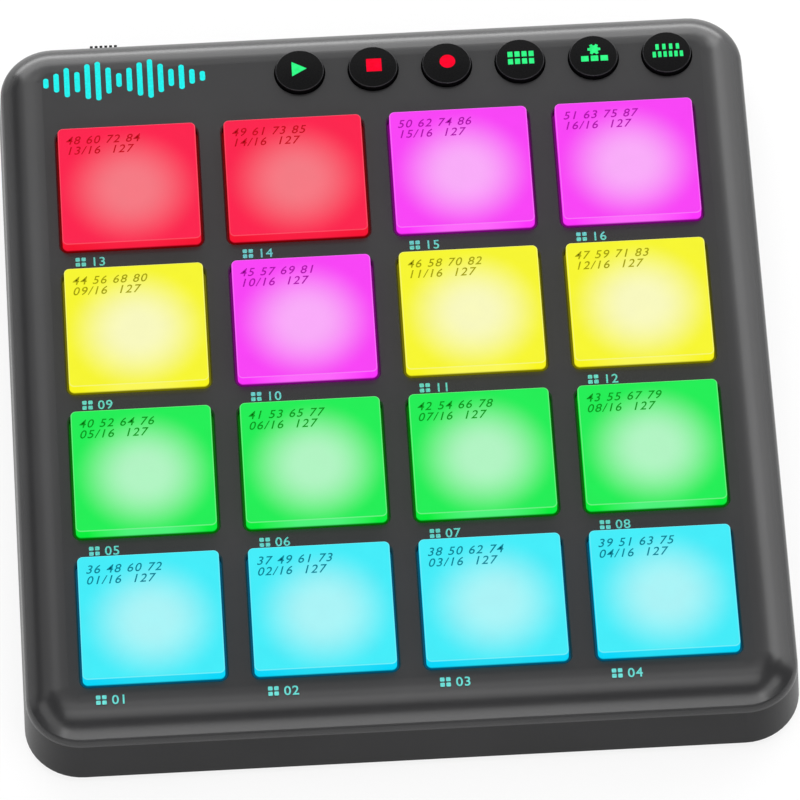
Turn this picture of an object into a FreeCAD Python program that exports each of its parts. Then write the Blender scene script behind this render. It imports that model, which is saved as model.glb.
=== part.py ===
import FreeCAD, Part
import math
import os

# A desktop pad controller for music: a low plastic box with sixteen lit pads,
# six round buttons and a power switch, a USB socket and a MIDI jack at the back.
# Millimetres. X runs to the right, Y away from the player, Z up.
# The origin is on the table under the middle of the housing.

V = FreeCAD.Vector
UP = V(0, 0, 1)

# Pads: four rows of four, with the same strip of panel between them both ways
pads_per_side = 4
pad_size = 28.2
pad_land = 5.8
pad_corner_r = 1.1
pad_top_round = 0.3
pad_proud = 2.3
pad_travel = 1.0
pad_gap = 0.45
pad_flange_out = 1.5
pad_flange_t = 1.2
pad_chamber_r = 9.0
pad_skin_t = 3.4

# Housing: margins round the pad field, then the shape of the edge
side_margin = 11.55
front_margin = 10.85
rear_margin = 24.15
plan_corner_r = 11.0
edge_arc_r = 10.5
edge_arc_deg = 50.0
edge_lip_r = 3.0
shell_t = 2.0
base_height = 11.2
base_wall_t = 2.2
base_floor_t = 2.0
base_edge_r = 0.3
base_flare = 0.6
window_chamfer = 0.3

# The tongue of the top housing that drops into a rebate in the base's rim
tongue_outset = 1.2
rebate_outset = 1.1
tongue_drop = 1.1
tongue_gap = 0.1

# Round buttons in a row behind the pads
button_names = ["play", "stop", "record", "bank", "shift", "repeat"]
button_pitch = 15.15
button_right_margin = 15.7
button_row_behind_pads = 12.15
button_r = 5.0
button_gap = 0.3
button_proud = 1.25
button_travel = 0.5
button_top_t = 1.2
button_wall_t = 1.1
button_edge_round = 0.2
button_dome_h = 0.15
button_flange_out = 0.9
button_flange_t = 1.0
collar_wall_t = 1.7
collar_drop = 0.6

# Light pipe in each button: a disc with the symbol on it and a stem under it
pipe_disc_t = 1.0
pipe_fit = 0.05
pipe_stem_r = 1.3
symbol_fit = 0.03

# Symbols: sizes of the figures that shine through the buttons
symbol_behind_middle = 0.35
symbol_right_of_middle = 0.2
play_side = 3.5
play_left = 0.75
stop_side = 3.1
record_r = 1.6
bank_cell_w = 1.0
bank_cell_h = 1.3
bank_step = 1.45
bank_row_gap = 1.8
bank_rows = 2
bank_columns = 4
gear_r = 0.95
gear_tooth = 0.4
gear_teeth = 6
gear_root = 0.68
gear_tip = 0.42
gear_above_middle = 1.15
dash_count = 3
dash_w = 1.5
dash_h = 1.3
dash_step = 2.0
dash_below_middle = 1.1
tick_w = 0.65
tick_h = 1.35
tick_counts = (4, 6)
tick_spreads = (4.2, 5.6)
tick_row_gap = 1.85

# Circuit board and what stands on it
board_t = 1.6
board_below_parting = 1.0
board_side_gap = 1.2
board_rear_gap = 1.8
film_t = 0.3
film_window = 7.0
press_gap = 0.15
led_size = 5.0
led_h = 1.6
led_well_r = 2.1
led_well_deep = 0.3
button_led_w = 1.6
button_led_d = 0.8
button_led_h = 0.7
button_led_offset = 4.6
tact_size = 6.0
tact_h = 2.3
plunger_r = 1.7
plunger_rise = 0.7
plunger_in_body = 1.1
running_gap = 0.1
rest_gap = 0.05

# Frame between the pads
frame_wall_t = 1.6
frame_rim_t = 1.0
frame_post_r = 2.0
frame_top_gap = 0.1
frame_boss_gap = 0.15

# Screws
post_inset = 4.8
side_post_shares = [-0.75, 0.05, 0.775]
top_boss_r = 2.1
base_post_r = 3.0
screw_r = 1.0
screw_hole_gap = 0.2
pilot_gap = 0.02
screw_head_r = 1.9
screw_head_h = 1.4
screw_sink = 4.0
screw_sink_gap = 0.2
screw_bite = 3.0
screw_tip_gap = 0.4
cross_w = 0.5
cross_len = 2.2
cross_deep = 0.7
board_cross_deep = 0.4
board_screw_r = 0.9
board_screw_head_r = 1.6
board_screw_head_h = 1.0
board_screw_bite = 3.2

# Feet
foot_r = 5.0
foot_proud = 2.0
foot_sink = 0.8
foot_gap = 0.1
foot_edge_r = 0.4
foot_inset_x = 17.0
foot_inset_y = 14.5

# Power slide switch
switch_from_left = 21.75
knob_w = 5.6
knob_h = 4.6
knob_proud = 2.0
knob_below_parting = 1.3
knob_ribs = 6
knob_groove_w = 0.4
knob_groove_deep = 0.6
knob_travel = 2.0
knob_gap = 0.2
knob_flange_t = 1.0
knob_flange_out = 2.7
knob_flange_drop = 0.9
lever_w = 1.5
lever_h = 1.2
lever_in_body = 2.2
lever_in_knob = 1.0
switch_body_w = 8.6
switch_body_d = 4.0
switch_body_h = 3.5

# Sockets in the back wall
socket_skin_t = 0.8
socket_face_gap = 0.2
socket_pocket_gap = 0.6
usb_from_left = 41.0
usb_w = 8.94
usb_h = 3.26
usb_wall_t = 0.3
usb_len = 7.3
usb_back_t = 1.2
usb_core_gap = 0.02
usb_mouth_gap = 0.3
tongue_w = 6.69
tongue_t = 0.7
tongue_len = 4.6
jack_from_left = 58.0
jack_w = 6.0
jack_h = 5.0
jack_len = 12.0
jack_bore_r = 1.8
jack_bore_len = 11.0
jack_mouth_r = 2.9

# Battery, its tape, its socket and its two wires
battery_w = 60.0
battery_d = 50.0
battery_t = 4.5
battery_round = 1.2
battery_y = -10.0
tape_t = 0.4
tape_inset = 4.0
fence_t = 1.2
fence_h = 3.0
fence_gap = 0.5
fence_mouth = 20.0
battery_socket_w = 6.0
battery_socket_d = 4.5
battery_socket_h = 3.4
battery_socket_gap = 16.0
wire_r = 0.6
wire_step = 2.2
wire_straight = 4.5
wire_bend_share = 0.45
wire_above_floor = 2.8

# Chips under the board, each as width, depth, height and place from the middle of the board's rear edge
chip_sizes = {
    "controller": (7.0, 7.0, 1.0, 22.0, -44.6),
    "scanner": (6.0, 10.0, 1.5, 44.0, -44.6),
    "charger": (4.0, 4.0, 1.0, -34.0, -26.6),
    "coil": (4.5, 4.5, 2.0, -42.0, -26.6),
    "crystal": (3.2, 2.5, 0.8, 24.0, -36.6),
}
module_w = 12.0
module_d = 16.0
module_t = 0.8
module_can_h = 1.6
module_can_inset = 1.0
module_aerial_d = 4.0
module_from_side = 11.55
module_from_rear = 26.6

# How far a cutter runs past the face that it opens
past = 1.0

# Levels and places worked out from the sizes above
arc = math.radians(edge_arc_deg)
edge_run = edge_arc_r * math.sin(arc) + edge_lip_r * (1 - math.sin(arc))
edge_drop = edge_arc_r * (1 - math.cos(arc)) + edge_lip_r * math.cos(arc)

base_z = foot_proud
floor_z = base_z + base_floor_t
parting_z = base_z + base_height
panel_z = parting_z + edge_drop
panel_under_z = panel_z - shell_t
board_top_z = parting_z - board_below_parting
board_under_z = board_top_z - board_t
film_top_z = board_top_z + film_t

pad_pitch = pad_size + pad_land
field = (pads_per_side - 1) * pad_pitch + pad_size
body_width = field + 2 * side_margin
body_depth = field + front_margin + rear_margin
half_w = body_width / 2
half_d = body_depth / 2
pads_y = -half_d + front_margin + field / 2

pad_top_z = panel_z + pad_proud
pad_under_z = film_top_z + pad_travel + press_gap
pad_window = pad_size + 2 * pad_gap
pad_flange = pad_size + 2 * pad_flange_out
frame_cell = pad_pitch - frame_wall_t
frame_span = (pads_per_side - 1) * pad_pitch + frame_cell + 2 * frame_rim_t

button_y = pads_y + field / 2 + button_row_behind_pads
last_button_x = half_w - button_right_margin
button_top_z = panel_z + button_proud
button_ceiling_z = button_top_z - button_top_t
button_seat_z = panel_under_z - collar_drop
button_flange_top_z = button_seat_z - rest_gap
button_under_z = button_flange_top_z - button_flange_t
button_hole_r = button_r + button_gap
tact_top_z = board_top_z + tact_h
plunger_top_z = tact_top_z + plunger_rise

rear_inner_y = half_d - base_wall_t
socket_face_y = half_d - socket_skin_t - socket_face_gap
board_front_y = -half_d + base_wall_t + board_side_gap
board_rear_y = rear_inner_y - board_rear_gap
board_half_w = half_w - base_wall_t - board_side_gap
board_corner_r = plan_corner_r - base_wall_t - board_side_gap

knob_top_z = parting_z - knob_below_parting
switch_x = -half_w + switch_from_left
lever_z = board_under_z - switch_body_h / 2
lever_tip_y = rear_inner_y - running_gap - knob_flange_t + lever_in_knob
usb_x = -half_w + usb_from_left
usb_z = board_under_z - usb_h / 2
jack_x = -half_w + jack_from_left
jack_z = board_under_z - jack_h / 2

module_x = board_half_w - module_from_side
module_y = board_rear_y - module_from_rear

battery_rear_y = battery_y + battery_d / 2
battery_socket_front_y = battery_rear_y + battery_socket_gap


# Small makers that several pieces share

def box(x0, x1, y0, y1, z0, z1):
    return Part.makeBox(x1 - x0, y1 - y0, z1 - z0, V(x0, y0, z0))


def block(cx, cy, width, depth, z0, z1):
    return box(cx - width / 2, cx + width / 2, cy - depth / 2, cy + depth / 2, z0, z1)


def disc(cx, cy, r, z0, z1):
    return Part.makeCylinder(r, z1 - z0, V(cx, cy, z0))


def line(a, b):
    return Part.LineSegment(a, b).toShape()


def bend(centre, a, b):
    """The shorter arc from a to b round a centre that both lie the same way from."""
    middle = (a - centre) + (b - centre)
    middle.normalize()
    return Part.Arc(a, centre + middle * (a - centre).Length, b).toShape()


def rounded_wire(cx, cy, width, depth, r, z):
    """A rectangle with round corners, run anticlockwise."""
    edges = []
    last = None
    first = None
    for sx, sy, turned in ((1, -1, 0), (1, 1, 1), (-1, 1, 0), (-1, -1, 1)):
        centre = V(cx + sx * (width / 2 - r), cy + sy * (depth / 2 - r), z)
        on_x = centre + V(sx * r, 0, 0)
        on_y = centre + V(0, sy * r, 0)
        start, end = (on_x, on_y) if turned else (on_y, on_x)
        if last is None:
            first = start
        else:
            edges.append(line(last, start))
        edges.append(bend(centre, start, end))
        last = end
    edges.append(line(last, first))
    return Part.Wire(edges)


def rounded_block(cx, cy, width, depth, r, z0, z1):
    face = Part.Face(rounded_wire(cx, cy, width, depth, r, z0))
    return face.extrude(V(0, 0, z1 - z0))


def joined(shapes):
    return shapes[0].multiFuse(shapes[1:]).removeSplitter()


def edges_at(shape, z):
    """The edges that lie flat at one level."""
    near = 1e-4
    return [e for e in shape.Edges if abs(e.BoundBox.ZMin - z) < near > abs(e.BoundBox.ZMax - z)]


def outline_wire(inset, z):
    """The housing's outline set in by a wall or a gap, at one level."""
    return rounded_wire(0, 0, body_width - 2 * inset, body_depth - 2 * inset, plan_corner_r - inset, z)


def inset_block(inset, z0, z1):
    return Part.Face(outline_wire(inset, z0)).extrude(V(0, 0, z1 - z0))


def pad_places():
    """Pad numbers with their centres: pad 1 is at the front left, and numbers rise to the right."""
    first = -(pads_per_side - 1) / 2
    for row in range(pads_per_side):
        for column in range(pads_per_side):
            number = row * pads_per_side + column + 1
            yield number, (first + column) * pad_pitch, pads_y + (first + row) * pad_pitch


def button_places():
    count = len(button_names)
    for index, name in enumerate(button_names):
        yield name, last_button_x - (count - 1 - index) * button_pitch, button_y


def housing_posts():
    """Three posts along each side, at shares of the half depth, and two in front between the pads."""
    side_x = half_w - post_inset
    places = [(side * side_x, share * half_d) for side in (-1, 1) for share in side_post_shares]
    return places + [(side * pad_pitch, -half_d + post_inset) for side in (-1, 1)]


def frame_posts():
    """Crossings of the frame's walls that take a screw: the middle one and the four beyond it."""
    places = [(0.0, pads_y)]
    return places + [(sx * pad_pitch, pads_y + sy * pad_pitch) for sx in (-1, 1) for sy in (-1, 1)]


# Top housing: one moulding with the flat panel, the rolled edge and the bosses

def edge_section(inset, z_low):
    """Half section at a corner: the corner's upright axis is at x = 0, the outside at the right."""
    reach = plan_corner_r - inset
    arc_centre = V(plan_corner_r - edge_run, 0, panel_z - edge_arc_r)
    lip_centre = V(plan_corner_r - edge_lip_r, 0, parting_z)
    slope = V(math.sin(arc), 0, math.cos(arc))
    top = arc_centre + V(0, 0, edge_arc_r - inset)
    knee = arc_centre + slope * (edge_arc_r - inset)
    rim = V(reach, 0, parting_z)
    points = [V(0, 0, top.z), V(0, 0, z_low), V(reach, 0, z_low)]
    edges = [line(points[0], points[1]), line(points[1], points[2])]
    if z_low < parting_z:
        edges.append(line(points[2], rim))
    edges.append(bend(lip_centre, rim, knee))
    edges.append(bend(arc_centre, knee, top))
    edges.append(line(top, points[0]))
    return Part.Face(Part.Wire(edges))


def housing_form(inset, z_low):
    """The outside of the top housing, or the same form set in by a wall."""
    section = edge_section(inset, z_low)
    cx = half_w - plan_corner_r
    cy = half_d - plan_corner_r
    pieces = [box(-cx, cx, -cy, cy, z_low, panel_z - inset)]
    for quarter, (sx, sy) in enumerate(((1, 1), (-1, 1), (-1, -1), (1, -1))):
        corner = section.revolve(V(0, 0, 0), UP, 90)
        corner.rotate(V(0, 0, 0), UP, 90 * quarter)
        corner.translate(V(sx * cx, sy * cy, 0))
        pieces.append(corner)
    for quarter, (across, along) in enumerate(((cx, cy), (cy, cx), (cx, cy), (cy, cx))):
        side = section.extrude(V(0, 2 * along, 0))
        side.translate(V(across, -along, 0))
        side.rotate(V(0, 0, 0), UP, 90 * quarter)
        pieces.append(side)
    return joined(pieces)


def pad_window_cutter(cx, cy):
    corner_r = pad_corner_r + pad_gap
    hole = rounded_block(cx, cy, pad_window, pad_window, corner_r, panel_under_z - past, panel_z + past)
    wide = pad_window + 2 * window_chamfer
    low = rounded_wire(cx, cy, pad_window, pad_window, corner_r, panel_z - window_chamfer)
    high = rounded_wire(cx, cy, wide, wide, corner_r + window_chamfer, panel_z)
    return [hole, Part.makeLoft([low, high], True, True)]


def make_top_housing():
    outside = housing_form(0.0, parting_z)
    shell = outside.cut(housing_form(shell_t, parting_z - past))
    tongue = inset_block(tongue_outset, parting_z - tongue_drop, parting_z)
    tongue = tongue.cut(inset_block(shell_t, parting_z - tongue_drop - past, parting_z + past))
    room = joined([outside, inset_block(shell_t, board_top_z, parting_z)])
    bosses = [disc(x, y, top_boss_r, board_top_z, panel_z).common(room) for x, y in housing_posts()]
    collar_r = button_hole_r + collar_wall_t
    collars = [disc(x, y, collar_r, button_seat_z, panel_z).common(outside) for _, x, y in button_places()]
    body = joined([shell, tongue] + bosses + collars)
    cutters = []
    for _, x, y in pad_places():
        cutters += pad_window_cutter(x, y)
    for _, x, y in button_places():
        cutters.append(disc(x, y, button_hole_r, button_seat_z - past, panel_z + past))
    pilot_top_z = board_top_z + screw_bite + screw_tip_gap
    for x, y in housing_posts():
        cutters.append(disc(x, y, screw_r + pilot_gap, board_top_z - past, pilot_top_z))
    return body.cut(cutters)


# Base: one tray moulding with posts for the screws, pockets for the feet and holes for the sockets.
# Its wall leans out to the bottom.

def make_bottom_housing():
    rim = outline_wire(0, parting_z)
    bottom = outline_wire(-base_flare, base_z)
    body = Part.makeLoft([bottom, rim], True, True)
    body = body.makeFillet(base_edge_r, edges_at(body, base_z))
    inside = inset_block(base_wall_t, floor_z, parting_z + past)
    rebate = inset_block(rebate_outset, parting_z - tongue_drop - tongue_gap, parting_z + past)
    body = body.cut([inside, rebate])
    posts = [disc(x, y, base_post_r, base_z + base_edge_r, board_under_z) for x, y in housing_posts()]
    body = joined([body] + posts + battery_fence())
    under = base_z - past
    cutters = []
    for x, y in housing_posts():
        cutters.append(disc(x, y, screw_r + screw_hole_gap, under, board_under_z + past))
        cutters.append(disc(x, y, screw_head_r + screw_sink_gap, under, base_z + screw_sink))
    for x, y in foot_places():
        cutters.append(disc(x, y, foot_r + foot_gap, under, base_z + foot_sink))
    cutters += socket_cutters()
    cutters.append(box(switch_x - knob_w / 2 - knob_gap, switch_x + knob_w / 2 + knob_travel + knob_gap,
                       rear_inner_y - past, half_d + past,
                       knob_top_z - knob_h - knob_gap, knob_top_z + knob_gap))
    return body.cut(cutters)


def battery_fence():
    """Two ribs at the sides and one in front keep the battery in its place, with a wire gap behind."""
    inner_x = battery_w / 2 + fence_gap
    front_y = battery_y - battery_d / 2 - fence_gap
    rear_y = battery_rear_y + fence_gap
    top = floor_z + fence_h
    low = floor_z - base_floor_t / 2
    ribs = [box(-inner_x - fence_t, inner_x + fence_t, front_y - fence_t, front_y, low, top)]
    for side in (-1, 1):
        x0, x1 = sorted((side * inner_x, side * (inner_x + fence_t)))
        ribs.append(box(x0, x1, front_y - fence_t, rear_y + fence_t, low, top))
        x0, x1 = sorted((side * fence_mouth / 2, side * (inner_x + fence_t)))
        ribs.append(box(x0, x1, rear_y, rear_y + fence_t, low, top))
    return ribs


def stadium_y(cx, cz, width, height, y0, y1):
    """A bar along Y whose section is a slot with round ends."""
    r = height / 2
    half = width / 2 - r
    bar = box(cx - half, cx + half, y0, y1, cz - r, cz + r)
    ends = [Part.makeCylinder(r, y1 - y0, V(cx + side * half, y0, cz), V(0, 1, 0)) for side in (-1, 1)]
    return joined([bar] + ends)


def socket_cutters():
    """Mouths through the back wall, and pockets inside that thin the wall and are open to the rim."""
    out_y = half_d + past
    skin_y = half_d - socket_skin_t
    in_y = rear_inner_y - past
    mouth_w = usb_w + 2 * usb_mouth_gap
    usb_mouth = stadium_y(usb_x, usb_z, mouth_w, usb_h + 2 * usb_mouth_gap, in_y, out_y)
    jack_mouth = Part.makeCylinder(jack_mouth_r, out_y - in_y, V(jack_x, in_y, jack_z), V(0, 1, 0))
    pockets = []
    for x, width, height in ((usb_x, usb_w, usb_h), (jack_x, jack_w, jack_h)):
        reach = width / 2 + socket_pocket_gap
        low = board_under_z - height - socket_pocket_gap
        pockets.append(box(x - reach, x + reach, in_y, skin_y, low, parting_z + past))
    return [usb_mouth, jack_mouth] + pockets


# Pads: one silicone moulding each, with a flange under the panel and a hollow for the lamp

def make_pad(cx, cy):
    body = rounded_block(cx, cy, pad_size, pad_size, pad_corner_r, pad_under_z, pad_top_z)
    body = body.makeFillet(pad_top_round, edges_at(body, pad_top_z))
    flange_top = panel_under_z - rest_gap
    flange = rounded_block(cx, cy, pad_flange, pad_flange, pad_corner_r + pad_flange_out,
                           flange_top - pad_flange_t, flange_top)
    chamber = disc(cx, cy, pad_chamber_r, pad_under_z - past, pad_top_z - pad_skin_t)
    return joined([body, flange]).cut(chamber)


# Frame: a black moulding between the pads that keeps their light apart and spaces the board

def boss_notches(z0, z1):
    """Clearance round the top housing's bosses for what lies beside them."""
    return [disc(x, y, top_boss_r + frame_boss_gap, z0, z1) for x, y in housing_posts()]


def make_pad_frame():
    body = rounded_block(0, pads_y, frame_span, frame_span, frame_rim_t, film_top_z, panel_z)
    cells = [rounded_block(x, y, frame_cell, frame_cell, pad_corner_r, film_top_z - past, panel_z + past)
             for _, x, y in pad_places()]
    body = body.cut(cells)
    body = joined([body] + [disc(x, y, frame_post_r, film_top_z, panel_z) for x, y in frame_posts()])
    body = body.common(housing_form(shell_t + frame_top_gap, film_top_z))
    pilot_top_z = board_top_z + board_screw_bite + screw_tip_gap
    pilots = [disc(x, y, board_screw_r + pilot_gap, film_top_z - past, pilot_top_z) for x, y in frame_posts()]
    return body.cut(pilots + boss_notches(film_top_z - past, panel_z + past))


def make_sensor_film():
    """A printed film of force sensors under all the pads, with a window for each lamp."""
    low = board_top_z - past
    high = film_top_z + past
    sheet = rounded_block(0, pads_y, frame_span, frame_span, frame_rim_t, board_top_z, film_top_z)
    windows = [block(x, y, film_window, film_window, low, high) for _, x, y in pad_places()]
    holes = [disc(x, y, board_screw_r + screw_hole_gap, low, high) for x, y in frame_posts()]
    return sheet.cut(windows + holes + boss_notches(low, high))


def make_main_board():
    depth = board_rear_y - board_front_y
    mid_y = (board_rear_y + board_front_y) / 2
    board = rounded_block(0, mid_y, 2 * board_half_w, depth, board_corner_r, board_under_z, board_top_z)
    low = board_under_z - past
    high = board_top_z + past
    holes = [disc(x, y, screw_r + screw_hole_gap, low, high) for x, y in housing_posts()]
    holes += [disc(x, y, board_screw_r + screw_hole_gap, low, high) for x, y in frame_posts()]
    return board.cut(holes)


def make_pad_leds():
    """One lamp under each pad: a white package with a round well for its light."""
    lamps = []
    for _, x, y in pad_places():
        package = block(x, y, led_size, led_size, board_top_z, board_top_z + led_h)
        well = disc(x, y, led_well_r, board_top_z + led_h - led_well_deep, board_top_z + led_h + past)
        lamps.append(package.cut(well))
    return Part.makeCompound(lamps)


def make_button_leds():
    high = board_top_z + button_led_h
    lamps = [block(x, y - button_led_offset, button_led_w, button_led_d, board_top_z, high)
             for _, x, y in button_places()]
    return Part.makeCompound(lamps)


# Round buttons: a black cap, a clear light pipe in it and the switch plunger under it

def symbol_play(cx, cy, grow):
    r = play_side / math.sqrt(3) + 2 * grow
    angles = [math.radians(120 * corner) for corner in range(3)]
    points = [V(cx - play_left + r * math.cos(a), cy + r * math.sin(a), 0) for a in angles]
    return [Part.Face(Part.makePolygon(points + points[:1]))]


def flat_rect(cx, cy, width, depth):
    corners = [V(cx - width / 2, cy - depth / 2, 0), V(cx + width / 2, cy - depth / 2, 0),
               V(cx + width / 2, cy + depth / 2, 0), V(cx - width / 2, cy + depth / 2, 0)]
    return Part.Face(Part.makePolygon(corners + corners[:1]))


def symbol_stop(cx, cy, grow):
    side = stop_side + 2 * grow
    return [flat_rect(cx, cy, side, side)]


def symbol_record(cx, cy, grow):
    return [Part.Face(Part.Wire(Part.makeCircle(record_r + grow, V(cx, cy, 0))))]


def flat_row(cx, cy, count, step, width, depth):
    """A row of equal rectangles along X, centred."""
    first_x = cx - (count - 1) / 2 * step
    return [flat_rect(first_x + index * step, cy, width, depth) for index in range(count)]


def symbol_bank(cx, cy, grow):
    """Two rows of four small pads."""
    faces = []
    for row in range(bank_rows):
        y = cy + (row - (bank_rows - 1) / 2) * bank_row_gap
        faces += flat_row(cx, y, bank_columns, bank_step, bank_cell_w + 2 * grow, bank_cell_h + 2 * grow)
    return faces


def symbol_shift(cx, cy, grow):
    """A small gear over three dashes."""
    gear_y = cy + gear_above_middle
    half_pitch = math.pi / gear_teeth
    tip_r = gear_r + gear_tooth
    points = []
    for tooth in range(gear_teeth):
        middle = 2 * tooth * half_pitch
        for turn, r in ((-gear_root, gear_r), (-gear_tip, tip_r), (gear_tip, tip_r), (gear_root, gear_r)):
            a = middle + turn * half_pitch
            points.append(V(cx + (r + grow) * math.cos(a), gear_y + (r + grow) * math.sin(a), 0))
    gear = Part.Face(Part.makePolygon(points + points[:1]))
    dash_y = cy - dash_below_middle
    return [gear] + flat_row(cx, dash_y, dash_count, dash_step, dash_w + 2 * grow, dash_h + 2 * grow)


def symbol_repeat(cx, cy, grow):
    """Two rows of upright ticks, more of them in the lower row."""
    faces = []
    for count, spread, side in zip(tick_counts, tick_spreads, (1, -1)):
        step = spread / (count - 1)
        y = cy + side * tick_row_gap / 2
        faces += flat_row(cx, y, count, step, tick_w + 2 * grow, tick_h + 2 * grow)
    return faces


SYMBOLS = {
    "play": symbol_play,
    "stop": symbol_stop,
    "record": symbol_record,
    "bank": symbol_bank,
    "shift": symbol_shift,
    "repeat": symbol_repeat,
}


def symbol_prisms(name, cx, cy, grow, z0, z1):
    prisms = []
    for face in SYMBOLS[name](cx + symbol_right_of_middle, cy + symbol_behind_middle, grow):
        prism = face.extrude(V(0, 0, z1 - z0))
        prism.translate(V(0, 0, z0))
        prisms.append(prism)
    return prisms


def dome_ball(cx, cy):
    """The large ball whose top is the slightly domed face of a button."""
    ball_r = (button_r ** 2 + button_dome_h ** 2) / (2 * button_dome_h)
    return Part.makeSphere(ball_r, V(cx, cy, button_top_z - ball_r))


def make_button_cap(name, cx, cy):
    cap = disc(cx, cy, button_r, button_under_z, button_top_z).common(dome_ball(cx, cy))
    cap = cap.makeFillet(button_edge_round, edges_at(cap, button_top_z - button_dome_h))
    flange = disc(cx, cy, button_hole_r + button_flange_out, button_under_z, button_flange_top_z)
    bore = disc(cx, cy, button_r - button_wall_t, button_under_z - past, button_ceiling_z)
    cap = joined([cap, flange]).cut(bore)
    return cap.cut(symbol_prisms(name, cx, cy, symbol_fit, button_ceiling_z - past, button_top_z + past))


def make_light_pipe(name, cx, cy):
    plate_r = button_r - button_wall_t - pipe_fit
    plate_mid_z = button_ceiling_z - pipe_disc_t / 2
    plate = disc(cx, cy, plate_r, button_ceiling_z - pipe_disc_t, button_ceiling_z)
    stem = disc(cx, cy, pipe_stem_r, plunger_top_z, plate_mid_z)
    figure = symbol_prisms(name, cx, cy, 0.0, plate_mid_z, button_top_z)
    return joined([plate, stem] + figure).common(dome_ball(cx, cy))


def make_plunger(cx, cy):
    return disc(cx, cy, plunger_r, tact_top_z - plunger_in_body, plunger_top_z)


def make_tact_bodies():
    """Six small push switches soldered to the board, each open on top for its plunger."""
    bodies = []
    well_z = tact_top_z - plunger_in_body - button_travel - running_gap
    for _, x, y in button_places():
        body = block(x, y, tact_size, tact_size, board_top_z, tact_top_z)
        bodies.append(body.cut(disc(x, y, plunger_r + running_gap, well_z, tact_top_z + past)))
    return Part.makeCompound(bodies)


# Power switch: the knob in the back wall, the lever it pushes and the body on the board

def make_knob():
    y_in = rear_inner_y - running_gap
    y_out = half_d + knob_proud
    low = knob_top_z - knob_h
    body = box(switch_x - knob_w / 2, switch_x + knob_w / 2, y_in - knob_flange_t, y_out, low, knob_top_z)
    flange = box(switch_x - knob_w / 2 - knob_flange_out, switch_x + knob_w / 2 + knob_flange_out,
                 y_in - knob_flange_t, y_in, low - knob_flange_drop, knob_top_z)
    body = joined([body, flange])
    ridge = (knob_w - (knob_ribs - 1) * knob_groove_w) / knob_ribs
    groove_y = y_out - knob_groove_deep
    cutters = []
    for index in range(1, knob_ribs):
        x0 = switch_x - knob_w / 2 + index * ridge + (index - 1) * knob_groove_w
        cutters.append(box(x0, x0 + knob_groove_w, groove_y, y_out + past, low - past, knob_top_z + past))
    pocket_half_h = lever_h / 2 + running_gap
    cutters.append(block(switch_x, lever_tip_y - lever_in_knob / 2, lever_w + 2 * running_gap,
                         lever_in_knob + 2 * running_gap, lever_z - pocket_half_h, lever_z + pocket_half_h))
    return body.cut(cutters)


def make_lever():
    length = lever_in_body + board_rear_gap + lever_in_knob
    low = lever_z - lever_h / 2
    return block(switch_x, lever_tip_y - length / 2, lever_w, length, low, low + lever_h)


def make_slide_switch_body():
    rear_y = board_rear_y - running_gap
    root_y = lever_tip_y - lever_in_knob - board_rear_gap - lever_in_body
    body = box(switch_x - switch_body_w / 2, switch_x + switch_body_w / 2, rear_y - switch_body_d, rear_y,
               board_under_z - switch_body_h, board_under_z)
    open_x = lever_w / 2 + running_gap
    open_z = lever_h / 2 + running_gap
    slot = box(switch_x - open_x, switch_x + open_x + knob_travel, root_y - running_gap, rear_y + past,
               lever_z - open_z, lever_z + open_z)
    return body.cut(slot)


# Sockets on the back edge of the board

def make_usb_shell():
    rear_y = socket_face_y - usb_len
    outer = stadium_y(usb_x, usb_z, usb_w, usb_h, rear_y, socket_face_y)
    hollow_w = usb_w - 2 * usb_wall_t
    hollow_h = usb_h - 2 * usb_wall_t
    return outer.cut(stadium_y(usb_x, usb_z, hollow_w, hollow_h, rear_y - past, socket_face_y + past))


def make_usb_tongue():
    """The plastic core that closes the back of the shell and carries the contact tongue."""
    rear_y = socket_face_y - usb_len
    wall = usb_wall_t + usb_core_gap
    core = stadium_y(usb_x, usb_z, usb_w - 2 * wall, usb_h - 2 * wall, rear_y, rear_y + usb_back_t)
    blade = box(usb_x - tongue_w / 2, usb_x + tongue_w / 2, rear_y, rear_y + usb_back_t + tongue_len,
                usb_z - tongue_t / 2, usb_z + tongue_t / 2)
    return joined([core, blade])


def make_midi_jack():
    body = box(jack_x - jack_w / 2, jack_x + jack_w / 2, socket_face_y - jack_len, socket_face_y,
               board_under_z - jack_h, board_under_z)
    bore_end = V(jack_x, socket_face_y - jack_bore_len, jack_z)
    return body.cut(Part.makeCylinder(jack_bore_r, jack_bore_len + past, bore_end, V(0, 1, 0)))


# Battery and its wiring

def make_battery():
    z0 = floor_z + tape_t
    return rounded_block(0, battery_y, battery_w, battery_d, battery_round, z0, z0 + battery_t)


def make_battery_tape():
    width = battery_w - 2 * tape_inset
    depth = battery_d - 2 * tape_inset
    return block(0, battery_y, width, depth, floor_z, floor_z + tape_t)


def make_battery_socket():
    half = battery_socket_w / 2
    rear_y = battery_socket_front_y + battery_socket_d
    return box(-half, half, battery_socket_front_y, rear_y, board_under_z - battery_socket_h, board_under_z)


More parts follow.
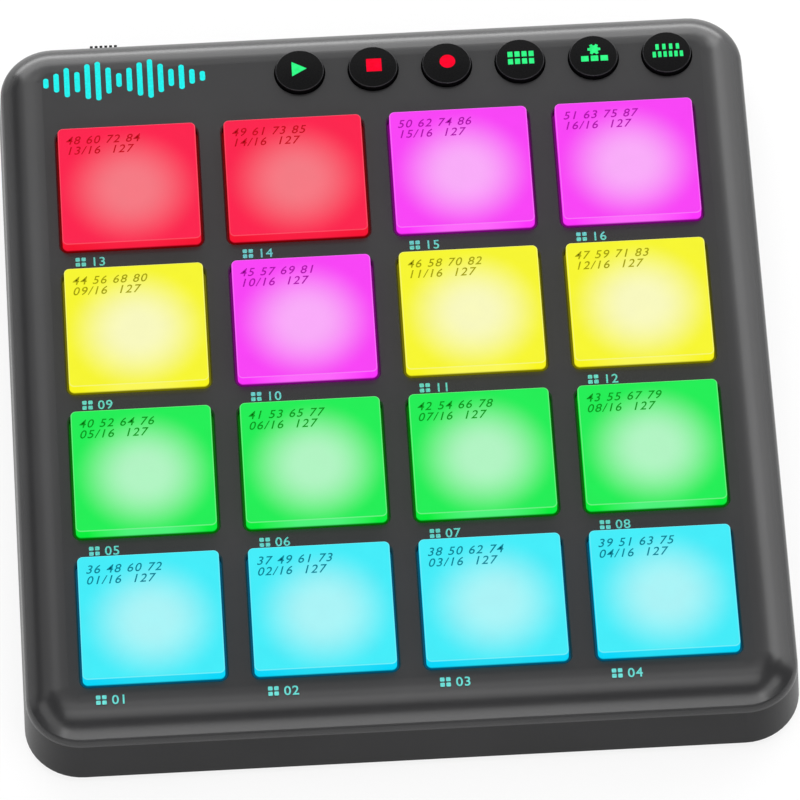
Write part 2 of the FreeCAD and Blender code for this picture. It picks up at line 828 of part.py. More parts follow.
def make_wire(side):
    """One lead from the battery's back edge up to the socket: two straight ends and two tangent arcs."""
    x = side * wire_step / 2
    low_z = floor_z + wire_above_floor
    high_z = board_under_z - battery_socket_h / 2
    p0 = V(x, battery_rear_y, low_z)
    p1 = V(x, battery_rear_y + wire_straight, low_z)
    p2 = V(x, battery_socket_front_y - wire_straight, high_z)
    p3 = V(x, battery_socket_front_y, high_z)
    turn = math.atan2(p2.z - p1.z, p2.y - p1.y)
    tangent = wire_bend_share * wire_straight
    radius = tangent / math.tan(abs(turn) / 2)
    rise = V(0, math.cos(turn), math.sin(turn))
    flat = V(0, 1, 0)
    a, b = p1 - flat * tangent, p1 + rise * tangent
    c, d = p2 - rise * tangent, p2 + flat * tangent
    lift = V(0, 0, math.copysign(radius, turn))
    path = Part.Wire([line(p0, a), bend(a + lift, a, b), line(b, c), bend(d - lift, c, d), line(d, p3)])
    section = Part.Wire(Part.makeCircle(wire_r, p0, flat))
    print("battery wire: bend radius", round(radius, 2), "length", round(path.Length, 2))
    return path.makePipeShell([section], True, False)


# Fasteners and feet

def cross_cutter(x, y, z0, z1):
    return [block(x, y, cross_len, cross_w, z0, z1), block(x, y, cross_w, cross_len, z0, z1)]


def make_housing_screws():
    """Long screws up through the base and the board into the top housing's bosses."""
    screws = []
    seat = base_z + screw_sink
    for x, y in housing_posts():
        shank = disc(x, y, screw_r, seat, board_top_z + screw_bite)
        head = disc(x, y, screw_head_r, seat - screw_head_h, seat)
        low = seat - screw_head_h
        screws.append(joined([shank, head]).cut(cross_cutter(x, y, low - past, low + cross_deep)))
    return Part.makeCompound(screws)


def make_board_screws():
    """Short screws up through the board into the frame's posts."""
    screws = []
    for x, y in frame_posts():
        shank = disc(x, y, board_screw_r, board_under_z, board_top_z + board_screw_bite)
        head = disc(x, y, board_screw_head_r, board_under_z - board_screw_head_h, board_under_z)
        low = board_under_z - board_screw_head_h
        screws.append(joined([shank, head]).cut(cross_cutter(x, y, low - past, low + board_cross_deep)))
    return Part.makeCompound(screws)


def foot_places():
    x = half_w - foot_inset_x
    y = half_d - foot_inset_y
    return [(sx * x, sy * y) for sx in (-1, 1) for sy in (-1, 1)]


def make_feet():
    feet = []
    for x, y in foot_places():
        foot = disc(x, y, foot_r, 0, base_z + foot_sink)
        feet.append(foot.makeFillet(foot_edge_r, edges_at(foot, 0)))
    return Part.makeCompound(feet)


# Chips and the wireless module on the board's underside

def make_chips():
    chips = [block(x, board_rear_y + y, width, depth, board_under_z - height, board_under_z)
             for width, depth, height, x, y in chip_sizes.values()]
    return Part.makeCompound(chips)


def make_wireless_module():
    plate = block(module_x, module_y, module_w, module_d, board_under_z - module_t, board_under_z)
    can_d = module_d - module_aerial_d - 2 * module_can_inset
    can = block(module_x, module_y - module_aerial_d / 2, module_w - 2 * module_can_inset, can_d,
                board_under_z - module_t - module_can_h, board_under_z - module_t)
    return joined([plate, can])


# Every node by its name

nodes = {
    "top_housing": make_top_housing(),
    "bottom_housing": make_bottom_housing(),
    "pad_frame": make_pad_frame(),
    "sensor_film": make_sensor_film(),
    "main_board": make_main_board(),
    "pad_leds": make_pad_leds(),
    "button_leds": make_button_leds(),
    "tact_switch_bodies": make_tact_bodies(),
    "board_chips": make_chips(),
    "wireless_module": make_wireless_module(),
    "usb_socket_shell": make_usb_shell(),
    "usb_socket_tongue": make_usb_tongue(),
    "midi_jack": make_midi_jack(),
    "slide_switch_body": make_slide_switch_body(),
    "slide_switch_lever": make_lever(),
    "power_knob": make_knob(),
    "battery": make_battery(),
    "battery_tape": make_battery_tape(),
    "battery_socket": make_battery_socket(),
    "battery_wire_red": make_wire(-1),
    "battery_wire_black": make_wire(1),
    "housing_screws": make_housing_screws(),
    "board_screws": make_board_screws(),
    "rubber_feet": make_feet(),
}
for number, x, y in pad_places():
    nodes[f"pad_{number}"] = make_pad(x, y)
for name, x, y in button_places():
    nodes[f"{name}_cap"] = make_button_cap(name, x, y)
    nodes[f"{name}_light_pipe"] = make_light_pipe(name, x, y)
    nodes[f"{name}_plunger"] = make_plunger(x, y)

os.makedirs("parts", exist_ok=True)
for name, shape in nodes.items():
    shape.exportStep(f"parts/{name}.step")
print(len(nodes), "pieces; body", round(body_width, 2), "by", round(body_depth, 2))
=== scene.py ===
import math

import bmesh
import bpy
from mathutils import Matrix, Quaternion, Vector


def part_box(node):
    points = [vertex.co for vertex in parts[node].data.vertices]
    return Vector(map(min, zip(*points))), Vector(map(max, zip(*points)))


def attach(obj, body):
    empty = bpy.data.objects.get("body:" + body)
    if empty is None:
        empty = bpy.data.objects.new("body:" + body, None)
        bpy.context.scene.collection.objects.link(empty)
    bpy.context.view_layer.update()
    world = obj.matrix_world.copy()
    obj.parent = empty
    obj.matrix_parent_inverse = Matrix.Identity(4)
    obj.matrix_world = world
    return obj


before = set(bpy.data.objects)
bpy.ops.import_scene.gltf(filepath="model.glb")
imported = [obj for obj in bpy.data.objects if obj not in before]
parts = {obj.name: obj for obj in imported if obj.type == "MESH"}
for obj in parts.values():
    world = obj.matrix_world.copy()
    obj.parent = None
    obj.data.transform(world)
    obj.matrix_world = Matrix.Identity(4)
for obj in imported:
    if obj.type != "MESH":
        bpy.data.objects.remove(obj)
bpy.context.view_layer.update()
mm = 0.001


# Camera
# The controller was pictured from far off with a long lens, from above its
# front edge and a little to the left of its middle, and turned by a hair.

lens_mm = 404.54
camera_place = Vector((-48.25, -955.72, 1560.24)) * mm
camera_turn = Quaternion((0.96184, 0.272054, -0.0061634, -0.0284802))

camera_data = bpy.data.cameras.new("camera")
camera_data.lens = lens_mm
camera_data.sensor_width = 36.0
camera_data.clip_start = 0.05
camera_data.clip_end = 30.0
camera = bpy.data.objects.new("camera", camera_data)
camera.rotation_mode = "QUATERNION"
camera.rotation_quaternion = camera_turn
camera.location = camera_place
bpy.context.collection.objects.link(camera)
bpy.context.scene.camera = camera


# Bottom housing
# One tray of dark grey ABS that carries everything else. It is injection
# moulded, and its spark-eroded grain is a little duller than the shell's.

def screen(red, green, blue):
    """The colour that shows on screen as these values from 0 to 255."""
    levels = [(level / 255 + 0.055) / 1.055 for level in (red, green, blue)]
    return tuple(level ** 2.4 for level in levels) + (1.0,)


def new_finish(name):
    """A new material: its node tree and its shader."""
    material = bpy.data.materials.new(name)
    material.use_nodes = True
    tree = material.node_tree
    return material, tree, tree.nodes["Principled BSDF"]


def speckle(tree, size, detail=2.0, stretch=(1.0, 1.0, 1.0)):
    """Cloudy noise with spots of about this size in metres, fixed to the piece."""
    place = tree.nodes.new("ShaderNodeTexCoord")
    scale = tree.nodes.new("ShaderNodeMapping")
    scale.inputs["Scale"].default_value = [pull / size for pull in stretch]
    noise = tree.nodes.new("ShaderNodeTexNoise")
    noise.inputs["Scale"].default_value = 1.0
    noise.inputs["Detail"].default_value = detail
    tree.links.new(place.outputs["Object"], scale.inputs["Vector"])
    tree.links.new(scale.outputs["Vector"], noise.inputs["Vector"])
    return noise.outputs["Fac"]


def between(tree, source, low, high, source_range=(0.3, 0.7), eased=False):
    """A number that goes from low to high as the source goes through its range."""
    ranged = tree.nodes.new("ShaderNodeMapRange")
    ranged.interpolation_type = "SMOOTHSTEP" if eased else "LINEAR"
    ranged.inputs["From Min"].default_value = source_range[0]
    ranged.inputs["From Max"].default_value = source_range[1]
    ranged.inputs["To Min"].default_value = low
    ranged.inputs["To Max"].default_value = high
    tree.links.new(source, ranged.inputs["Value"])
    return ranged.outputs["Result"]


def blend_colours(tree, source, first, second):
    """The first colour where the source is 0, the second where it is 1."""
    mix = tree.nodes.new("ShaderNodeMix")
    mix.data_type = "RGBA"
    tree.links.new(source, mix.inputs["Factor"])
    for socket, colour in ((mix.inputs[6], first), (mix.inputs[7], second)):
        if isinstance(colour, tuple):
            socket.default_value = colour
        else:
            tree.links.new(colour, socket)
    return mix.outputs[2]


def raise_grain(tree, shader, source, depth):
    """Turns the source into a relief this deep, in metres."""
    bump = tree.nodes.new("ShaderNodeBump")
    bump.inputs["Strength"].default_value = 1.0
    bump.inputs["Distance"].default_value = depth
    tree.links.new(source, bump.inputs["Height"])
    tree.links.new(bump.outputs["Normal"], shader.inputs["Normal"])


flow_mark_size = 22 * mm


def moulded_plastic(name, dark, light, roughness, grain_size, grain_depth, gleam=0.5):
    """Moulded plastic: even grain, with flow marks that shift its tone a little."""
    material, tree, shader = new_finish(name)
    flow = speckle(tree, flow_mark_size, detail=3.0)
    tone = between(tree, flow, 0.0, 1.0)
    tree.links.new(blend_colours(tree, tone, dark, light), shader.inputs["Base Color"])
    grain = speckle(tree, grain_size, detail=1.5)
    tree.links.new(between(tree, grain, *roughness), shader.inputs["Roughness"])
    raise_grain(tree, shader, grain, grain_depth)
    shader.inputs["Specular IOR Level"].default_value = gleam
    return material


def dress(material, *names):
    """Gives the material to every slot of these pieces."""
    for name in names:
        for slot in parts[name].material_slots:
            slot.material = material


tray_plastic = moulded_plastic(
    "tray_plastic", screen(26, 26, 27), screen(31, 31, 32),
    roughness=(0.30, 0.38), grain_size=0.25 * mm, grain_depth=0.003 * mm, gleam=0.13)
dress(tray_plastic, "bottom_housing")


# Rubber feet
# Four round feet of black rubber pressed into shallow pockets under the tray.
# Their faces are matt, with a little dust in the pores.

foot_rubber = moulded_plastic(
    "foot_rubber", screen(22, 22, 22), screen(34, 33, 32),
    roughness=(0.78, 0.92), grain_size=0.4 * mm, grain_depth=0.02 * mm, gleam=0.3)
dress(foot_rubber, "rubber_feet")


# Battery with its tape, leads and socket
# A flat lithium cell in silver foil stuck to the tray's floor with foam tape.
# Two insulated leads run back to a small nylon socket on the board.

crease_size = 9 * mm
crease_depth = 0.25 * mm


def creased_foil(name, dark, light, roughness):
    """Aluminium laminate: satin silver with long soft creases."""
    material, tree, shader = new_finish(name)
    shader.inputs["Metallic"].default_value = 1.0
    crease = speckle(tree, crease_size, detail=5.0, stretch=(1.0, 0.4, 1.0))
    tone = between(tree, crease, 0.0, 1.0)
    tree.links.new(blend_colours(tree, tone, dark, light), shader.inputs["Base Color"])
    tree.links.new(between(tree, crease, *roughness), shader.inputs["Roughness"])
    raise_grain(tree, shader, crease, crease_depth)
    return material


battery_foil = creased_foil(
    "battery_foil", screen(168, 170, 174), screen(206, 208, 210), roughness=(0.28, 0.42))
foam_tape = moulded_plastic(
    "foam_tape", screen(30, 30, 32), screen(44, 44, 46),
    roughness=(0.85, 0.95), grain_size=0.5 * mm, grain_depth=0.05 * mm, gleam=0.2)
nylon = moulded_plastic(
    "nylon", screen(226, 221, 204), screen(238, 234, 220),
    roughness=(0.42, 0.52), grain_size=0.3 * mm, grain_depth=0.004 * mm)
red_lead = moulded_plastic(
    "red_lead", screen(168, 18, 16), screen(188, 26, 22),
    roughness=(0.38, 0.5), grain_size=0.5 * mm, grain_depth=0.006 * mm)
black_lead = moulded_plastic(
    "black_lead", screen(20, 20, 21), screen(30, 30, 31),
    roughness=(0.38, 0.5), grain_size=0.5 * mm, grain_depth=0.006 * mm)
dress(battery_foil, "battery")
dress(foam_tape, "battery_tape")
dress(nylon, "battery_socket")
dress(red_lead, "battery_wire_red")
dress(black_lead, "battery_wire_black")


# Circuit board with its chips and wireless module
# Fibreglass board under green solder mask, with copper tracks that stand a
# little proud under it. The chips are matt black resin, and the wireless
# module sits under a nickel-plated can.

track_pitch = 9 * mm
track_depth = 0.03 * mm
fibre_size = 1.2 * mm
drawn_line_width = 0.12 * mm
drawn_line_depth = 0.003 * mm


def solder_mask(name, lacquer_dark, lacquer_light, over_copper, roughness):
    """Lacquer over tracks that run square to the board."""
    material, tree, shader = new_finish(name)
    place = tree.nodes.new("ShaderNodeTexCoord")
    tracks = tree.nodes.new("ShaderNodeTexBrick")
    tracks.inputs["Scale"].default_value = 1 / track_pitch
    tracks.inputs["Mortar Size"].default_value = 0.035
    tracks.inputs["Mortar Smooth"].default_value = 0.2
    tracks.inputs["Row Height"].default_value = 0.16
    tracks.inputs["Brick Width"].default_value = 1.7
    tree.links.new(place.outputs["Object"], tracks.inputs["Vector"])
    fibre = speckle(tree, fibre_size, detail=3.0)
    lacquer = blend_colours(tree, between(tree, fibre, 0.0, 1.0), lacquer_dark, lacquer_light)
    shown = blend_colours(tree, tracks.outputs["Fac"], lacquer, over_copper)
    tree.links.new(shown, shader.inputs["Base Color"])
    tree.links.new(between(tree, fibre, *roughness), shader.inputs["Roughness"])
    raise_grain(tree, shader, tracks.outputs["Fac"], track_depth)
    return material


def plated_steel(name, dark, light, roughness):
    """Stamped and plated sheet: fine drawn lines along X."""
    material, tree, shader = new_finish(name)
    shader.inputs["Metallic"].default_value = 1.0
    drawn = speckle(tree, drawn_line_width, detail=2.0, stretch=(0.05, 1.0, 1.0))
    tone = between(tree, drawn, 0.0, 1.0)
    tree.links.new(blend_colours(tree, tone, dark, light), shader.inputs["Base Color"])
    tree.links.new(between(tree, drawn, *roughness), shader.inputs["Roughness"])
    raise_grain(tree, shader, drawn, drawn_line_depth)
    return material


green_mask = solder_mask(
    "solder_mask", screen(10, 66, 38), screen(14, 80, 46),
    over_copper=screen(34, 122, 66), roughness=(0.25, 0.4))
chip_resin = moulded_plastic(
    "chip_resin", screen(28, 28, 30), screen(38, 38, 40),
    roughness=(0.5, 0.66), grain_size=0.18 * mm, grain_depth=0.006 * mm)
nickel = plated_steel(
    "nickel_plate", screen(176, 174, 168), screen(206, 204, 198), roughness=(0.22, 0.34))
dress(green_mask, "main_board")
dress(chip_resin, "board_chips")
dress(nickel, "wireless_module")


# Power slide switch
# A small steel-cased switch on the board's back edge. Its lever fits into
# a ribbed black knob that slides in the tray's back wall.

black_plastic = moulded_plastic(
    "black_plastic", screen(14, 14, 15), screen(20, 20, 21),
    roughness=(0.3, 0.4), grain_size=0.2 * mm, grain_depth=0.003 * mm)
knob_plastic = moulded_plastic(
    "knob_plastic", screen(9, 9, 10), screen(14, 14, 15),
    roughness=(0.5, 0.6), grain_size=0.2 * mm, grain_depth=0.004 * mm, gleam=0.08)
dress(nickel, "slide_switch_body")
dress(black_plastic, "slide_switch_lever")
dress(knob_plastic, "power_knob")


# USB socket and MIDI jack
# The socket is a seamless steel shell round a moulded tongue. The jack is
# a black moulding with a round bore, and both stand on the board's edge.

dress(nickel, "usb_socket_shell")
dress(black_plastic, "usb_socket_tongue", "midi_jack")


# Lamps, sensor film and push switches on the board
# White lamp packages stand under the pads in windows of a printed force
# film. Six push switches stand under the round buttons.

lamp_package = moulded_plastic(
    "lamp_package", screen(228, 226, 214), screen(240, 239, 230),
    roughness=(0.4, 0.5), grain_size=0.2 * mm, grain_depth=0.003 * mm)
force_film = moulded_plastic(
    "force_film", screen(46, 40, 34), screen(70, 62, 52),
    roughness=(0.3, 0.42), grain_size=2.5 * mm, grain_depth=0.01 * mm)
switch_plunger = moulded_plastic(
    "switch_plunger", screen(206, 204, 196), screen(222, 220, 214),
    roughness=(0.35, 0.45), grain_size=0.2 * mm, grain_depth=0.003 * mm)
dress(lamp_package, "pad_leds", "button_leds")
dress(force_film, "sensor_film")
dress(black_plastic, "tact_switch_bodies")
dress(switch_plunger, *[name for name in parts if name.endswith("_plunger")])


# Pad frame and its screws
# A black moulding with a cell for each pad, so that no pad lights its
# neighbour. Five short steel screws hold it to the board.

screw_steel = plated_steel(
    "screw_steel", screen(70, 70, 72), screen(104, 104, 106), roughness=(0.28, 0.4))
dress(black_plastic, "pad_frame")
dress(screw_steel, "board_screws")


# Pads
# Sixteen thick silicone pads, milky and tinted by the lamp under each. The
# light is whitest over the lamp, and deepest in the sides and the front face.

panel_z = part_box("top_housing")[1][2]
pad_low, pad_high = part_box("pad_1")
flange_width = pad_high[0] - pad_low[0]
flange_out = 1.5 * mm

glow_middle = (0.51, 0.46, 0.0)
top_fade = (2.8 * mm, 15.0 * mm)
flank_fade = (4.0 * mm, 12.0 * mm)
flank_to_top = (0.25, 0.9)
window_fade = (panel_z - 0.5 * mm, panel_z + 0.1 * mm)
rim_highlight_share = 0.3
rim_slant = 0.7
rim_slant_spread = 0.25
gap_shade_share = 0.17
unlit_deep_share = 0.03
unlit_milky_share = 0.05
mottle_size = 4 * mm
skin_grain_size = 0.3 * mm
skin_grain_depth = 0.004 * mm


def axis_of(tree, vector, axis):
    """One axis of a vector."""
    split = tree.nodes.new("ShaderNodeSeparateXYZ")
    tree.links.new(vector, split.inputs["Vector"])
    return split.outputs[axis]


def reckon(tree, operation, *terms):
    """Arithmetic, by Blender's name for it, on sockets and plain numbers."""
    node = tree.nodes.new("ShaderNodeMath")
    node.operation = operation
    for socket, term in zip(node.inputs, terms):
        if isinstance(term, float):
            socket.default_value = term
        else:
            tree.links.new(term, socket)
    return node.outputs["Value"]


def facing_up(tree):
    """1 where the surface is level, 0 where it is upright."""
    surface = tree.nodes.new("ShaderNodeNewGeometry")
    return axis_of(tree, surface.outputs["Normal"], "Z")


def rounding(tree):
    """1 on a rounded top edge, which faces neither up nor sideways, and 0 elsewhere."""
    return reckon(tree, "COMPARE", facing_up(tree), rim_slant, rim_slant_spread)


def dimmed(colour, share):
    """The colour with this share of its light left."""
    return tuple(share * level for level in colour[:3]) + (1.0,)


def way_from_glow(tree, place_in_box):
    """The level way from the middle of the glow to the point, in metres."""
    centred = tree.nodes.new("ShaderNodeVectorMath")
    centred.operation = "SUBTRACT"
    centred.inputs[1].default_value = glow_middle
    spread = tree.nodes.new("ShaderNodeVectorMath")
    spread.operation = "MULTIPLY"
    spread.inputs[1].default_value = (flange_width, flange_width, 0.0)
    tree.links.new(place_in_box, centred.inputs[0])
    tree.links.new(centred.outputs["Vector"], spread.inputs[0])
    return spread.outputs["Vector"]


def lit_silicone(name, middle, edge, face, side):
    """Silicone lit from below: whitish over the lamp and saturated towards the rim, with a painted
    highlight on its rounded top edge and a painted shade below the panel, in the gap inside the window."""
    material, tree, shader = new_finish(name)
    place = tree.nodes.new("ShaderNodeTexCoord")
    way = way_from_glow(tree, place.outputs["Generated"])
    reach = tree.nodes.new("ShaderNodeVectorMath")
    reach.operation = "LENGTH"
    tree.links.new(way, reach.inputs[0])
    to_edge = between(tree, reach.outputs["Value"], 0.0, 1.0, top_fade, eased=True)
    top = blend_colours(tree, to_edge, middle, edge)
    off_middle = reckon(tree, "ABSOLUTE", axis_of(tree, way, "X"))
    to_end = between(tree, off_middle, 0.0, 1.0, flank_fade)
    flank = blend_colours(tree, to_end, face, side)
    upward = between(tree, facing_up(tree), 0.0, 1.0, flank_to_top)
    shown = blend_colours(tree, upward, flank, top)
    # Painted highlight: the rounded top edge is paled towards the whitish middle colour.
    rim = between(tree, rounding(tree), 0.0, rim_highlight_share, (0.0, 1.0))
    shown = blend_colours(tree, rim, shown, middle)
    # Painted shade in the window's gap: below the panel the glow gives way to the side colour squared and
    # dimmed.
    height = axis_of(tree, place.outputs["Object"], "Z")
    above_panel = between(tree, height, 0.0, 1.0, window_fade)
    painted_gap_shade = dimmed([level ** 2 for level in side], gap_shade_share)
    shown = blend_colours(tree, above_panel, painted_gap_shade, shown)
    tree.links.new(shown, shader.inputs["Emission Color"])
    shader.inputs["Emission Strength"].default_value = 1.0
    shader.inputs["Specular IOR Level"].default_value = 0.15
    mottle = between(tree, speckle(tree, mottle_size, detail=3.0), 0.0, 1.0)
    body = blend_colours(tree, mottle, dimmed(side, unlit_deep_share), dimmed(edge, unlit_milky_share))
    tree.links.new(body, shader.inputs["Base Color"])
    skin = speckle(tree, skin_grain_size, detail=1.5)
    tree.links.new(between(tree, skin, 0.42, 0.54), shader.inputs["Roughness"])
    raise_grain(tree, shader, skin, skin_grain_depth)
    return material


pad_silicone = {
    "cyan": lit_silicone("lit_silicone_cyan", middle=screen(167, 237, 239), edge=screen(57, 229, 241),
                         face=screen(35, 216, 239), side=screen(0, 212, 246)),
    "green": lit_silicone("lit_silicone_green", middle=screen(175, 237, 192), edge=screen(0, 230, 77),
                          face=screen(76, 239, 122), side=screen(8, 236, 60)),
    "yellow": lit_silicone("lit_silicone_yellow", middle=screen(241, 241, 188), edge=screen(239, 238, 32),
                           face=screen(248, 244, 87), side=screen(246, 242, 30)),
    "magenta": lit_silicone("lit_silicone_magenta", middle=screen(241, 168, 241), edge=screen(240, 55, 238),
                            face=screen(250, 103, 248), side=screen(250, 52, 250)),
    "red": lit_silicone("lit_silicone_red", middle=screen(237, 117, 127), edge=screen(244, 0, 67),
                        face=screen(246, 30, 64), side=screen(244, 20, 50)),
}
pad_lights = {
    1: "cyan", 2: "cyan", 3: "cyan", 4: "cyan",
    5: "green", 6: "green", 7: "green", 8: "green",
    9: "yellow", 10: "magenta", 11: "yellow", 12: "yellow",
    13: "red", 14: "red", 15: "magenta", 16: "magenta",
}
for number, light in pad_lights.items():
    dress(pad_silicone[light], f"pad_{number}")


# Pad legends
# Two short lines in the rear left corner of each pad, in a darker ink of its
# own colour. They are plain numbers: the four notes that it can play, its
# place among the sixteen, and 127 for the hardest stroke.

ink_thickness = 0.04 * mm
ink_spot_size = 0.5 * mm
ink_spot_depth = 0.002 * mm
legend_cap = 1.95 * mm
legend_in = 1.5 * mm
legend_step = 2.5 * mm
legend_from_rear = 4.0 * mm
lowest_note = 36
octave = 12
hardest_stroke = 127


def lettering(text, cap_height, slant=0.0, spacing=1.0, weight=0.0):
    """A short text as a mesh one metre thick, with its lower left corner at the origin."""
    curve = bpy.data.curves.new("lettering", "FONT")
    curve.body = text
    curve.size = 1.0
    curve.shear = slant
    curve.space_character = spacing
    curve.offset = weight
    curve.resolution_u = 4
    curve.extrude = 0.5
    holder = bpy.data.objects.new("lettering", curve)
    bpy.context.collection.objects.link(holder)
    depsgraph = bpy.context.evaluated_depsgraph_get()
    mesh = bpy.data.meshes.new_from_object(holder.evaluated_get(depsgraph))
    bpy.data.objects.remove(holder)
    bpy.data.curves.remove(curve)
    digit_height = 0.72
    scale = cap_height / digit_height
    mesh.transform(Matrix.Diagonal((scale, scale, 1.0, 1.0)))
    return mesh


def set_ink(sheet, mesh, x, y, z):
    """Lays a shape one metre thick into the sheet of ink, pressed flat and half sunk at z."""
    mesh.transform(Matrix.Translation((x, y, z)) @ Matrix.Diagonal((1.0, 1.0, ink_thickness, 1.0)))
    sheet.from_mesh(mesh)
    bpy.data.meshes.remove(mesh)


def finish_ink(sheet, name, material, body):
    """Makes the sheet of ink a piece that rides on a body."""
    mesh = bpy.data.meshes.new(name)
    sheet.to_mesh(mesh)
    sheet.free()
    mesh.materials.append(material)
    piece = bpy.data.objects.new(name, mesh)
    bpy.context.collection.objects.link(piece)
    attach(piece, body)


def printed_ink(name, thin, full, roughness, gleam):
    """Screen-printed ink: thin spots let the ground through."""
    material, tree, shader = new_finish(name)
    cover = speckle(tree, ink_spot_size, detail=3.0)
    tone = between(tree, cover, 0.0, 1.0)
    tree.links.new(blend_colours(tree, tone, thin, full), shader.inputs["Base Color"])
    tree.links.new(between(tree, cover, *roughness), shader.inputs["Roughness"])
    shader.inputs["Specular IOR Level"].default_value = gleam
    raise_grain(tree, shader, cover, ink_spot_depth)
    return material


pad_inks = {}
for light, thin, full in (
        ("cyan", screen(0, 120, 138), screen(0, 102, 120)),
        ("green", screen(0, 140, 26), screen(0, 122, 18)),
        ("yellow", screen(150, 146, 4), screen(132, 128, 2)),
        ("magenta", screen(158, 8, 156), screen(140, 5, 138)),
        ("red", screen(180, 4, 22), screen(160, 2, 16))):
    pad_inks[light] = printed_ink(f"pad_ink_{light}", thin, full, roughness=(0.5, 0.62), gleam=0.03)

for number, light in pad_lights.items():
    low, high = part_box(f"pad_{number}")
    left = low[0] + flange_out + legend_in
    rear = high[1] - flange_out - legend_from_rear
    note = lowest_note + number - 1
    notes = f"{note} {note + octave} {note + 2 * octave} {note + 3 * octave}"
    place = f"{number:02d}/{len(pad_lights)}  {hardest_stroke}"
    sheet = bmesh.new()
    for row, text in enumerate((notes, place)):
        shape = lettering(text, legend_cap, slant=0.28, spacing=1.15, weight=0.006)
        set_ink(sheet, shape, left, rear - row * legend_step, high[2])
    finish_ink(sheet, f"pad_{number}_legend", pad_inks[light], f"pad_{number}_body")


# Round buttons
# A glossy black cap with a slightly domed face, and in it a clear moulding whose lit figure comes flush
# with it. The cap's rounded rim has a painted highlight in a paler grey.

haze_size = 0.9 * mm


def paint_rim_highlight(material, highlight_tone):
    """Paints a paler highlight tone on the rounded edges of a finish."""
    tree = material.node_tree
    colour = tree.nodes["Principled BSDF"].inputs["Base Color"]
    plain_tone = colour.links[0].from_socket
    tree.links.new(blend_colours(tree, rounding(tree), plain_tone, highlight_tone), colour)


def lit_figure(name, deep, bright):
    """Clear acrylic carrying light from its lamp, its brightness varying a little in a fine haze."""
    material, tree, shader = new_finish(name)
    haze = speckle(tree, haze_size, detail=2.0)
    shown = blend_colours(tree, between(tree, haze, 0.0, 1.0), deep, bright)
    tree.links.new(shown, shader.inputs["Emission Color"])
    shader.inputs["Emission Strength"].default_value = 0.95
    shader.inputs["Specular IOR Level"].default_value = 0.03
    clear = blend_colours(tree, haze, (0.0, 0.0, 0.0, 1.0), dimmed(deep, 0.15))
    tree.links.new(clear, shader.inputs["Base Color"])
    tree.links.new(between(tree, haze, 0.2, 0.3), shader.inputs["Roughness"])
    return material


button_plastic = moulded_plastic(
    "button_plastic", screen(4, 4, 5), screen(7, 7, 8),
    roughness=(0.24, 0.32), grain_size=0.2 * mm, grain_depth=0.002 * mm, gleam=0.1)
# Painted highlight on the cap's rounded rim.
paint_rim_highlight(button_plastic, screen(42, 42, 44))
green_figure = lit_figure("lit_figure_green", screen(44, 242, 128), screen(58, 252, 142))
red_figure = lit_figure("lit_figure_red", screen(248, 0, 40), screen(254, 0, 50))
for button, figure in (("play", green_figure), ("stop", red_figure), ("record", red_figure),
                       ("bank", green_figure), ("shift", green_figure), ("repeat", green_figure)):
    dress(button_plastic, f"{button}_cap")
    dress(figure, f"{button}_light_pipe")


# Top housing
# The upper shell, in dark grey ABS with a satin gleam: a flat panel with a
# rolled edge, set down into the tray's rim and screwed from below.

shell_plastic = moulded_plastic(
    "shell_plastic", screen(38, 38, 39), screen(42, 42, 43),
    roughness=(0.20, 0.26), grain_size=0.25 * mm, grain_depth=0.002 * mm, gleam=0.45)
dress(shell_plastic, "top_housing")


# Panel print
# Turquoise screen print on the shell: in front of each pad its number, after
# a small sign of four pads, and at the rear left a plain row of level bars.

number_cap = 2.1 * mm
number_in = 2.45 * mm
number_drop = 4.55 * mm
number_row_pitch = 34.18 * mm
cell = 0.9 * mm
cell_step = 1.2 * mm
cell_corner = 0.2 * mm
sign_gap = 0.7 * mm
bar_heights = (2.4, 4.6, 7.2, 5.0, 8.6, 9.5, 6.4, 3.4, 5.8, 8.2, 9.5, 7.0, 4.2, 6.0, 3.6, 2.4)
bar_width = 1.1 * mm
bar_step = 2.15 * mm
bar_corner = 0.5 * mm
bars_left = -67.6 * mm
bars_middle = 71.2 * mm


def bar_shape(width, height, corner):
    """An upright bar with round corners, one metre thick, its lower left corner at the origin."""
    corner_steps = 5
    points = []
    for cx, cy, first in ((width - corner, corner, -90), (width - corner, height - corner, 0),
                          (corner, height - corner, 90), (corner, corner, 180)):
        for step in range(corner_steps + 1):
            angle = math.radians(first + 90 * step / corner_steps)
            points.append((cx + corner * math.cos(angle), cy + corner * math.sin(angle)))
    count = len(points)
    vertices = [(x, y, z) for z in (-0.5, 0.5) for x, y in points]
    faces = [tuple(range(count, 2 * count)), tuple(reversed(range(count)))]
    faces += [(i, (i + 1) % count, count + (i + 1) % count, count + i) for i in range(count)]
    mesh = bpy.data.meshes.new("bar")
    mesh.from_pydata(vertices, [], faces)
    return mesh


turquoise_ink = printed_ink(
    "turquoise_ink", screen(92, 192, 184), screen(112, 216, 208), roughness=(0.45, 0.57), gleam=0.1)
bright_ink = printed_ink(
    "bright_ink", screen(14, 204, 200), screen(20, 218, 215), roughness=(0.4, 0.52), gleam=0.1)

sheet = bmesh.new()
for number in pad_lights:
    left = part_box(f"pad_{number}")[0][0] + flange_out + number_in
    base = pad_low[1] + flange_out - number_drop + (number - 1) // 4 * number_row_pitch
    for column in range(2):
        for row in range(2):
            shape = bar_shape(cell, cell, cell_corner)
            set_ink(sheet, shape, left + column * cell_step, base + row * cell_step, panel_z)
    shape = lettering(f"{number:02d}", number_cap, spacing=1.1, weight=0.01)
    set_ink(sheet, shape, left + 2 * cell_step + sign_gap, base, panel_z)
finish_ink(sheet, "pad_numbers", turquoise_ink, "housing")

